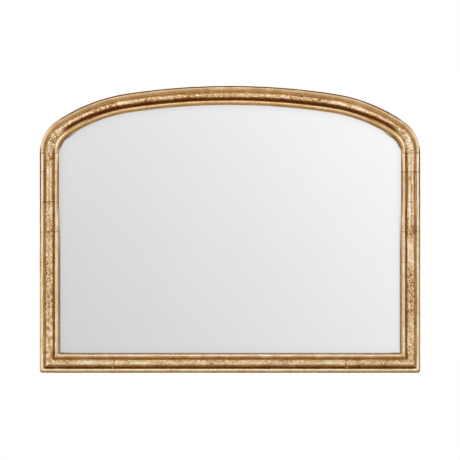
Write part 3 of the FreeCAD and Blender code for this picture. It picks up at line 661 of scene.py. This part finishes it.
feed(tree, shader, {
    "Base Color": ramp(tree, glaze, *[(thickness, glazed(thickness)) for thickness in glaze_steps]),
    "Metallic": varied(tree, dull, plain=1.0, swing=-0.2),
    "Specular IOR Level": 0.25,
    "Roughness": varied(tree, dull, plain=gloss, swing=0.35),
    "Normal": relief(tree, ripple, strength=0.6, depth=1.4 * mm),
})

# The timber's finish on the back and in the rebate: bare, with its grain along each length.
dark_grain, mid_grain, pale_grain = (0.42, 0.28, 0.15), (0.55, 0.39, 0.22), (0.64, 0.48, 0.29)
pore_brown = (0.30, 0.19, 0.10)
bare_timber, tree, shader = finish_of("bare_timber")
along_moulding = add(tree, "UVMap", uv_map="moulding").outputs["UV"]
board = add(tree, "SeparateXYZ", {"Vector": along_moulding}).outputs
board = {"X": board["X"], "Y": board["Y"], "Z": level_on(tree, "board")}
in_board = add(tree, "CombineXYZ", board).outputs["Vector"]
grain = drawn_out(tree, in_board, (12, 420, 5), detail=5, rough=0.6, warp=0.4)
pores = drawn_out(tree, in_board, (70, 2400, 5))
pale = ramp(tree, grain, (0.3, dark_grain), (0.5, mid_grain), (0.7, pale_grain))
feed(tree, shader, {
    "Base Color": mixed(tree, ramp(tree, pores, (0.33, 0.45), (0.46, 0.0)), pale, pore_brown),
    "Roughness": varied(tree, grain, plain=0.58, swing=0.2),
    "Normal": relief(tree, pores, strength=0.25, depth=0.4 * mm),
})

sharp_turn = math.radians(55)
rail_flecks = 1.8
bright_flecks = -0.35
bright_creases = -0.55


def keep_levels(mesh, levels):
    """Levels at each point, kept in the mesh for its finish."""
    for label, values in levels.items():
        mesh.attributes.new(label, "FLOAT", "POINT").data.foreach_set("value", values)


def moulding(name, line, shares, length, start, mirrored=False, joint_at=None, folded=None):
    """One length of the moulding, set out, beaten, gilded in front and toned, with painted light and shade
    laid in the glaze.
    """
    at = set_out(line, shares, length, start, mirrored, joint_at, folded)
    points = beaten_points(at)
    # Glaze and painted light and shade at each point: on the beads and the reed, in the quirks, at the seams,
    # and along the rim and the sight edge.
    glaze_and_shade = np.where(at.on_reed, reed_glazed_and_shaded(at), beads_glazed_and_shaded(at))
    glaze_and_shade = np.maximum.reduce([glaze_and_shade, quirks_glazed_and_shaded(at), seams_toned(at), edges_shaded(at)])

    columns = len(section)
    faces, finishes = [], []
    bare = ~(gilded & np.roll(gilded, -1))
    for row in range(at.rows - 1):
        for column in range(columns):
            after = (column + 1) % columns
            low, high = row * columns, (row + 1) * columns
            faces.append((low + column, low + after, high + after, high + column))
            finishes.append(int(bare[column]))
    faces.append(tuple(range(columns)))
    faces.append(tuple(range((at.rows - 1) * columns, at.rows * columns)))
    finishes += [1, 1]
    mesh = bpy.data.meshes.new(name)
    mesh.from_pydata(points.tolist(), [], faces)
    mesh.polygons.foreach_set("material_index", finishes)
    for finish in (gilding, bare_timber):
        mesh.materials.append(finish)
    bright = stretch(at.run, bright_runs)
    flecked = np.where(at.run < 0, rail_flecks, 1 + bright_flecks * bright)
    keep_levels(mesh, {
        "glaze_and_shade": glaze_and_shade,
        "crinkle": flecked * at.beaten,
        "crease": (1 + bright_creases * bright) * at.crease * at.beaten,
        "board": np.full(len(points), start + at.side),
    })
    corners = np.zeros(len(mesh.loops), dtype=np.int32)
    mesh.loops.foreach_get("vertex_index", corners)
    spread = np.stack([at.run, at.edge], axis=1)[corners]
    mesh.uv_layers.new(name="moulding").data.foreach_set("uv", spread.ravel())
    build = bmesh.new()
    build.from_mesh(mesh)
    bmesh.ops.recalc_face_normals(build, faces=build.faces)
    build.to_mesh(mesh)
    build.free()
    mesh.shade_smooth()
    mesh.set_sharp_from_angle(angle=sharp_turn)
    piece = bpy.data.objects.new("gilded_" + name, mesh)
    bpy.context.collection.objects.link(piece)
    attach(piece, "frame")
    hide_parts(name)


rail_shares = even_steps(-1, 1, 2 * half_width, True, True)
stile_shares = even_steps(0, 1, stile_length, True, True)
arch_shares = even_steps(0, 1, arch_length, True, False)
crown_shares = even_steps(-1, 1, crown_length, False, False)
arch_end = stile_length + arch_length
moulding("bottom_rail", rail_line, rail_shares, half_width, -half_width, folded=0)
moulding("left_stile", stile_line, stile_shares, stile_length, 0, joint_at=1)
moulding("right_stile", stile_line, stile_shares, stile_length, 0, mirrored=True, joint_at=1)
moulding("arch_left", arch_line, arch_shares, arch_length, stile_length, joint_at=0)
moulding("arch_right", arch_line, arch_shares, arch_length, stile_length, mirrored=True, joint_at=0)
moulding("arch_crown", crown_line, crown_shares, crown_length / 2, arch_end, folded=1)

# The pegs in the frame's joints: turned beech dowels with a straight grain, glued across each
# joint and hidden in the finished frame.
def dress(nodes, material):
    """Gives CAD pieces their finish."""
    for node in nodes:
        for slot in frame["nodes"][node].material_slots:
            slot.material = material


dark_beech, pale_beech = (0.50, 0.33, 0.19), (0.68, 0.49, 0.31)
beech, tree, shader = finish_of("beech")
place = place_on(tree)
rays = drawn_out(tree, place, (60, 700, 700), detail=4)
feed(tree, shader, {
    "Base Color": ramp(tree, rays, (0.3, dark_beech), (0.7, pale_beech)),
    "Roughness": varied(tree, rays, plain=0.5, swing=0.2),
})
dress(["arch_dowels", "mitre_dowels"], beech)

# The plate: 4 mm float glass silvered on its back, cut to the arch and left plain at the edge, lying in
# the rebate. A painted shadow of the frame greys the silvering a little in the first few centimetres from it,
# and a dark brown painted shadow and reflection of the sight edge lies along its edge low down and at the
# shoulders.
plate_low, plate_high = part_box("mirror_plate")
plate_edge = half_width - plate_high.x
ring_steps = np.array([0, 1.2, 2.4, 4, 6.5, 10, 16, 24, 32]) * mm
plate_rings = [plate_edge, *(sight + ring_steps)]
rail_points, stile_points, arc_points = 25, 13, 33
frame_shadow_depth, most_frame_shadow = 9 * mm, 0.9
sight_shadow_height, sight_shadow_fade = -100 * mm, 120 * mm
sight_shadow_shoulder = np.array([78, 92, 122, 140]) * mm
sight_shadow_depth, rail_sight_shadow_depth, sight_shadow_fullness = 5 * mm, 2.6 * mm, 1.3
clean_silver, bright_silver = (0.965, 0.972, 0.970), (0.978, 0.982, 0.980)
frame_shadow_silver, sight_shadow_colour = (0.80, 0.81, 0.81), (0.17, 0.09, 0.035)


def plate_outline(edge):
    """The arch's outline at that distance in from the frame's edge, anticlockwise from the left."""
    straight_run, curved_run = np.linspace(0, 1, stile_points), np.linspace(0, 1, arc_points)
    rail = rail_line(np.linspace(-1, 1, rail_points), edge)
    stile, arch = stile_line(straight_run, edge), arch_line(curved_run, edge)
    crown = crown_line(curved_run * 2 - 1, edge)
    right = [(-x, z) for x, z in zip(*stile)][1:] + [(-x, z) for x, z in zip(*arch)][1:]
    top = list(zip(*crown))[::-1][1:-1]
    left = list(zip(*arch))[::-1] + list(zip(*stile))[::-1][1:-1]
    return list(zip(*rail)) + right + top + left


outlines = [plate_outline(edge) for edge in plate_rings]
around = len(outlines[0])
points = [(x, plate_low.y, z) for outline in outlines for x, z in outline]
points += [(x, plate_high.y, z) for x, z in outlines[0]]
depths = [max(edge - sight, 0) for edge in plate_rings for _ in range(around)] + [0] * around
faces = []
for ring in range(len(plate_rings) - 1):
    for step in range(around):
        after = (step + 1) % around
        low, high = ring * around, (ring + 1) * around
        faces.append((low + step, low + after, high + after, high + step))
inmost, back = (len(plate_rings) - 1) * around, len(plate_rings) * around
faces.append(tuple(range(inmost, inmost + around)))
faces.append(tuple(range(back, back + around))[::-1])
for step in range(around):
    after = (step + 1) % around
    faces.append((back + step, back + after, after, step))
plate_mesh = bpy.data.meshes.new("silvered_plate")
plate_mesh.from_pydata(points, [], faces)
depths, heights = np.array(depths), np.array(points)[:, 2]
# A dark painted shadow and reflection of the frame's sight edge along the plate's edge, low down and at the
# shoulders.
sight_shadow = np.maximum(falling(heights, sight_shadow_height, sight_shadow_fade), stretch(heights, sight_shadow_shoulder))
beside_rail = heights - foot - sight - depths < inner_softness
sight_shadow *= soft_line(depths, 0, np.where(beside_rail, rail_sight_shadow_depth, sight_shadow_depth), sight_shadow_fullness)
keep_levels(plate_mesh, {"frame_shadow": np.exp(-depths / frame_shadow_depth), "sight_shadow": sight_shadow})
plate = bpy.data.objects.new("silvered_plate", plate_mesh)
bpy.context.collection.objects.link(plate)
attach(plate, "frame")
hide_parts("mirror_plate")

silvering, tree, shader = finish_of("silvered_glass")
place = place_on(tree)
haze = speckle(tree, place, 5, detail=3, rough=0.55)
silver = ramp(tree, haze, (0.3, clean_silver), (0.7, bright_silver))
# The frame's painted shadow greys the silvering near the sight edge.
silver = mixed(tree, worked(tree, "MULTIPLY", level_on(tree, "frame_shadow"), most_frame_shadow), silver, frame_shadow_silver)
# The painted shadow and reflection of the sight edge, broken into patches.
spotted = ramp(tree, speckle(tree, place, 60, detail=3, rough=0.6), (0.30, 0.85), (0.60, 1.0))
sight_shadow_patches = worked(tree, "MULTIPLY", level_on(tree, "sight_shadow"), spotted)
feed(tree, shader, {
    "Base Color": mixed(tree, sight_shadow_patches, silver, sight_shadow_colour),
    "Metallic": 1.0,
    "Roughness": varied(tree, haze, plain=0.008, swing=0.012),
})
plate_mesh.materials.append(silvering)

# The blocks and packers round the plate: cut from black rubber sheet, two blocks on the rail for the
# plate to stand on and four packers that hold it off the stiles.
dark_rubber, bloomed_rubber = (0.018, 0.018, 0.019), (0.045, 0.044, 0.043)
rubber, tree, shader = finish_of("black_rubber")
place = place_on(tree)
bloom = speckle(tree, place, 160, detail=3, rough=0.6)
feed(tree, shader, {
    "Base Color": ramp(tree, bloom, (0.35, dark_rubber), (0.7, bloomed_rubber)),
    "Roughness": varied(tree, bloom, plain=0.55, swing=0.2),
    "Normal": relief(tree, speckle(tree, place, 1500), strength=0.2, depth=0.3 * mm),
})
dress(["setting_blocks", "edge_packers"], rubber)

# The card liner: one sheet of grey pulp card, cut to the arch and laid against the silvering to keep the
# back board from scratching it.
dark_pulp, pale_pulp = (0.30, 0.29, 0.27), (0.40, 0.39, 0.36)
card, tree, shader = finish_of("grey_card")
place = place_on(tree)
pulp = speckle(tree, place, 420, detail=3, rough=0.65)
feed(tree, shader, {
    "Base Color": ramp(tree, pulp, (0.35, dark_pulp), (0.65, pale_pulp)),
    "Roughness": varied(tree, pulp, plain=0.82, swing=0.1),
})
dress(["card_liner"], card)

# The back board: hardboard cut to the rebate, smooth and dark with a fine fibre and faint tide marks,
# laid over the card and held by the turn buttons.
dark_fibre, mid_fibre, pale_fibre = (0.115, 0.062, 0.030), (0.175, 0.100, 0.050), (0.25, 0.155, 0.085)
tide_brown = (0.23, 0.145, 0.082)
hardboard, tree, shader = finish_of("hardboard")
place = place_on(tree)
fibre = speckle(tree, place, 520, detail=4, rough=0.7, warp=0.6)
tides = speckle(tree, place, 7, detail=4, rough=0.6)
brown = ramp(tree, fibre, (0.34, dark_fibre), (0.52, mid_fibre), (0.7, pale_fibre))
feed(tree, shader, {
    "Base Color": mixed(tree, ramp(tree, tides, (0.35, 0.0), (0.7, 0.45)), brown, tide_brown),
    "Roughness": varied(tree, tides, plain=0.38, swing=0.25),
    "Normal": relief(tree, fibre, strength=0.3, depth=0.3 * mm),
})
dress(["backing_board"], hardboard)

# The ironmongery: pressed steel braces across the mitres, turn buttons over the board, folded
# hanger straps with D rings, and pan-head screws, all bright zinc with a faint crystal bloom.
crystals_to_the_metre = 330
dark_zinc, bright_zinc, dull_zinc = (0.43, 0.44, 0.46), (0.62, 0.63, 0.65), (0.30, 0.29, 0.26)
zinc, tree, shader = finish_of("zinc_steel")
place = place_on(tree)
crystals = add(tree, "TexVoronoi", {"Vector": place, "Scale": crystals_to_the_metre}).outputs["Color"]
spangle = add(tree, "SeparateColor", {"Color": crystals}).outputs["Red"]
dull = speckle(tree, place, 45, detail=4, rough=0.6)
plated = mixed(tree, spangle, dark_zinc, bright_zinc)
gloss = varied(tree, spangle, plain=0.18, swing=0.14)
scuffs = drawn_out(tree, place, (1400, 1400, 160), detail=3)
feed(tree, shader, {
    "Base Color": mixed(tree, ramp(tree, dull, (0.42, 0.0), (0.70, 0.7)), plated, dull_zinc),
    "Metallic": 1.0,
    "Roughness": varied(tree, dull, plain=gloss, swing=0.24),
    "Normal": relief(tree, scuffs, strength=0.18, depth=0.2 * mm),
})
braces = ["corner_brace_left", "corner_brace_right"]
pivots = [joint["name"] for joint in frame["joints"] if joint["name"].endswith("_pivot")]
buttons = [pivot.removesuffix("_pivot") for pivot in pivots]
hangers = ["hanger_strap_left", "hanger_strap_right", "hanger_ring_left", "hanger_ring_right"]
screws = ["brace_screws", "hanger_screws", "button_screws"]
dress(braces + buttons + hangers + screws, zinc)

# The wall bumpers: moulded rubber discs stuck to the back of the rail, which hold the frame's foot
# off the wall.
dress(["wall_bumper_left", "wall_bumper_right"], rubber)

# The floor of the set: a pale painted disc well below the hanging mirror, which keeps its shadow and
# fades out into the white studio before its edge.
floor_drop = 0.95
floor_reach = 4.0
floor_sides = 64
fade_start, fade_end = 0.35, 0.97
floor_mesh = bpy.data.meshes.new("floor")
build = bmesh.new()
bmesh.ops.create_circle(build, cap_ends=True, segments=floor_sides, radius=floor_reach)
bmesh.ops.translate(build, verts=build.verts, vec=(0, 0, foot - floor_drop))
build.to_mesh(floor_mesh)
build.free()
floor = bpy.data.objects.new("floor", floor_mesh)
bpy.context.collection.objects.link(floor)
floor_grey, floor_pale = (0.80, 0.80, 0.79), (0.84, 0.84, 0.83)
floor_paint, tree, shader = finish_of("floor_paint")
place = place_on(tree)
paint = ramp(tree, speckle(tree, place, 3, detail=4), (0.3, floor_grey), (0.7, floor_pale))
feed(tree, shader, {"Base Color": paint, "Roughness": 0.8})
flat = (1 / floor_reach, 1 / floor_reach, 0)
flat = add(tree, "Mapping", {"Vector": place, "Scale": flat}).outputs["Vector"]
out = add(tree, "VectorMath", {0: flat}, operation="LENGTH").outputs["Value"]
faded = ramp(tree, out, (fade_start, 0.0), (fade_end, 1.0))
clear = add(tree, "BsdfTransparent").outputs["BSDF"]
painted = add(tree, "MixShader", {0: faded, 1: shader.outputs["BSDF"], 2: clear}).outputs["Shader"]
tree.links.new(painted, tree.nodes["Material Output"].inputs["Surface"])
floor_mesh.materials.append(floor_paint)
floor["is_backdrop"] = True

# The studio round the set: white to the camera, and to the plate and the leaf too, a little greyer
# towards the front. A soft card behind the camera tones from one corner of the plate to the other.
# Each wall gives the same plain light.
wall_light = 0.75
wall_tones = (0.0, 1.0), (0.5, 0.98), (0.95, 0.93)
card_edge = (0.994, 0.0), (0.998, 1.0)
card_across, card_upward, card_middle = 12.36, 10.46, 0.5
card_tones = (0.0, 0.622), (0.5, 0.80), (1.0, 1.0)
white = (1.0, 1.0, 1.0)
world = bpy.data.worlds.new("studio")
bpy.context.scene.world = world
world.use_nodes = True
tree = world.node_tree
tree.nodes.clear()
toward = add(tree, "TexCoord").outputs["Generated"]
side = add(tree, "SeparateXYZ", {"Vector": toward}).outputs
frontward = worked(tree, "MULTIPLY", side["Y"], -1.0)
walls = ramp(tree, frontward, *wall_tones)
slant = worked(tree, "MULTIPLY_ADD", side["X"], card_across, card_middle)
slant = worked(tree, "MULTIPLY_ADD", side["Z"], card_upward, slant)
soft_card = ramp(tree, slant, *card_tones)
studio = mixed(tree, ramp(tree, frontward, *card_edge), walls, soft_card)
path = add(tree, "LightPath").outputs
studio = mixed(tree, path["Is Camera Ray"], studio, white)
seen = add(tree, "Background", {"Color": studio, "Strength": 1.0}).outputs["Background"]
plain_light = {"Color": (*white, 1), "Strength": wall_light}
plain_light = add(tree, "Background", plain_light).outputs["Background"]
shown = worked(tree, "MAXIMUM", path["Is Camera Ray"], path["Is Glossy Ray"])
shown = worked(tree, "MAXIMUM", shown, path["Is Transmission Ray"])
lit = add(tree, "MixShader", {0: shown, 1: plain_light, 2: seen}).outputs["Shader"]
tree.links.new(lit, add(tree, "OutputWorld").inputs["Surface"])

# The lamps: one wide soft box high in front and a tall one to each side, all turned to the middle of the
# mirror and dimmer towards their edges, so that the beads and the reed have soft lights along them.
lamp_target = (0, 0, -0.2)
high_place, high_size, high_power = (0, -1.1, 1.2), (2.0, 0.6), 7.0
side_reach, side_depth, side_height = 1.6, -1.4, 0.9
side_size, side_power = (0.6, 1.2), 5.5
full_reach, dark_reach = 0.1, 1.0


def lamp(name, place, size, power):
    """A rectangular soft lamp turned towards the mirror."""
    light = bpy.data.lights.new(name, "AREA")
    light.shape = "RECTANGLE"
    light.size, light.size_y = size
    light.energy = power
    light.use_nodes = True
    tree = light.node_tree
    spot = add(tree, "NewGeometry").outputs["Parametric"]
    from_middle = {"Vector": spot, "Location": (-1, -1, 0), "Scale": (2, 2, 0)}
    from_middle = add(tree, "Mapping", from_middle).outputs["Vector"]
    out = add(tree, "VectorMath", {0: from_middle}, operation="LENGTH").outputs["Value"]
    feed(tree, tree.nodes["Emission"], {"Strength": ramp(tree, out, (full_reach, 1.0), (dark_reach, 0.0))})
    holder = bpy.data.objects.new(name, light)
    holder.location = place
    holder.rotation_euler = (Vector(lamp_target) - Vector(place)).to_track_quat("-Z", "Y").to_euler()
    bpy.context.collection.objects.link(holder)


lamp("high_lamp", high_place, high_size, high_power)
lamp("left_lamp", (-side_reach, side_depth, side_height), side_size, side_power)
lamp("right_lamp", (side_reach, side_depth, side_height), side_size, side_power)

# The camera: square on to the plate, level with the middle of the photograph, and far enough off that the
# frame's sides hardly show. Its long lens takes in the photograph's width.
camera_height = -0.1727
camera_distance = 24.0
seen_width = 1.452
sensor = 36.0
camera_data = bpy.data.cameras.new("camera")
camera_data.sensor_width = sensor
camera_data.lens = sensor * camera_distance / seen_width
camera = bpy.data.objects.new("camera", camera_data)
camera.location = (0, -camera_distance, camera_height)
camera.rotation_euler = (math.pi / 2, 0, 0)
bpy.context.collection.objects.link(camera)
bpy.context.scene.camera = camera
bpy.context.scene.view_settings.view_transform = "Standard"

# The box round the dressed mirror, without the floor.
low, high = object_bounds()
